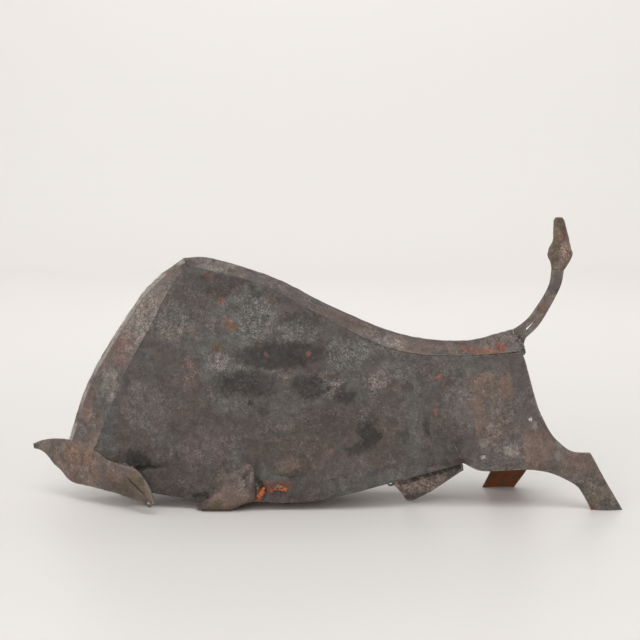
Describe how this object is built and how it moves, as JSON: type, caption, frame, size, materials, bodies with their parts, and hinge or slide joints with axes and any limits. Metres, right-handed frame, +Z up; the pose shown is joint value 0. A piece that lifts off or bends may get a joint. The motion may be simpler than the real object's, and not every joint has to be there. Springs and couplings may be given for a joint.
{
  "type": "iron bull sculpture",
  "caption": "Charging bull in folded and welded iron plate, hollow and open underneath, with its head low, hind legs stretched back and tail raised.",
  "frame": {"origin": "on the surface that the bull stands on, under the middle of its outer box", "axes": "+X from the horns towards the tail and the rear hoof, -X is the way the bull charges, -Y is the bull's left side, +Z up"},
  "size_m": [0.4158, 0.0975, 0.2],
  "materials": {
    "patinated_plate": "hand-hammered plate with a mottled grey and brown patina, matt, rusty orange on the inside",
    "hammered_bar": "flat bar hammered on its upper edge, rubbed paler than the plate",
    "horn_plate": "hammered plate with a warm brown and olive patina",
    "forged_tail": "forged bar, worn grey edges, traces of red rust",
    "rusty_weld": "rough weld metal with bright orange rust"
  },
  "bodies": {
    "root": {"left_neck_facet": "patinated_plate", "left_back_facet": "patinated_plate", "left_flank": "patinated_plate", "left_brisket": "patinated_plate", "left_haunch": "patinated_plate", "left_hind_shank": "patinated_plate", "left_foreleg": "patinated_plate", "right_neck_facet": "patinated_plate", "right_back_facet": "patinated_plate", "right_flank": "patinated_plate", "right_brisket": "patinated_plate", "right_haunch": "patinated_plate", "right_hind_shank": "patinated_plate", "right_foreleg": "patinated_plate", "rump_plate": "patinated_plate", "sheath": "patinated_plate", "crest_strip": "hammered_bar", "spine_strip": "hammered_bar", "left_horn": "horn_plate", "face_plate": "horn_plate", "right_horn": "horn_plate", "tail_bar": "forged_tail", "tail_tuft": "forged_tail", "left_foreleg_weld": "rusty_weld", "left_tail_weld": "rusty_weld", "left_hock_weld": "rusty_weld", "left_horn_weld": "rusty_weld", "right_foreleg_weld": "rusty_weld", "right_tail_weld": "rusty_weld", "right_hock_weld": "rusty_weld", "right_horn_weld": "rusty_weld", "left_belly_weld": "rusty_weld", "sheath_front_tack": "rusty_weld", "sheath_rear_tack": "rusty_weld"}
  },
  "joints": []
}
